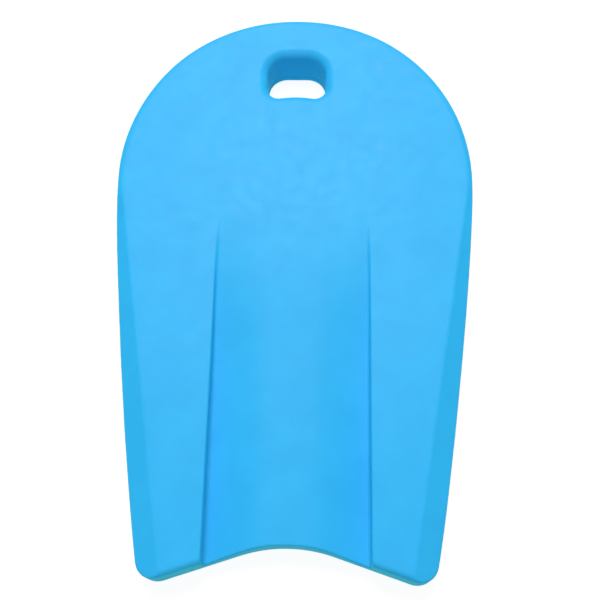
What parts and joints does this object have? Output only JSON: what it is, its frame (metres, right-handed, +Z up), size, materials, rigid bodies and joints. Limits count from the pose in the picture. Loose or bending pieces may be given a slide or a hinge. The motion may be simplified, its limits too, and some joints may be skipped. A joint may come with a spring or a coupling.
{
  "type": "kickboard float",
  "caption": "Foam kickboard with a round nose, hand hole, sunken centre panel between two channels, bevelled rails and a swallow tail, in a satin vinyl coating.",
  "frame": {"origin": "under the middle of the board, on the surface that its underside lies on", "axes": "+Y from the swallow tail to the round nose, +Z up out of the deck, +X to the right seen from above with the nose ahead; the board is symmetric about X = 0"},
  "size_m": [0.425, 0.69, 0.05],
  "materials": {
    "vinyl_deck": "satin sky blue vinyl coat",
    "vinyl_bottom": "satin sky blue vinyl coat",
    "foam": "closed-cell foam, cut face"
  },
  "bodies": {
    "root": {"deck_skin": "vinyl_deck", "bottom_skin": "vinyl_bottom", "foam_core": "foam"}
  },
  "joints": []
}
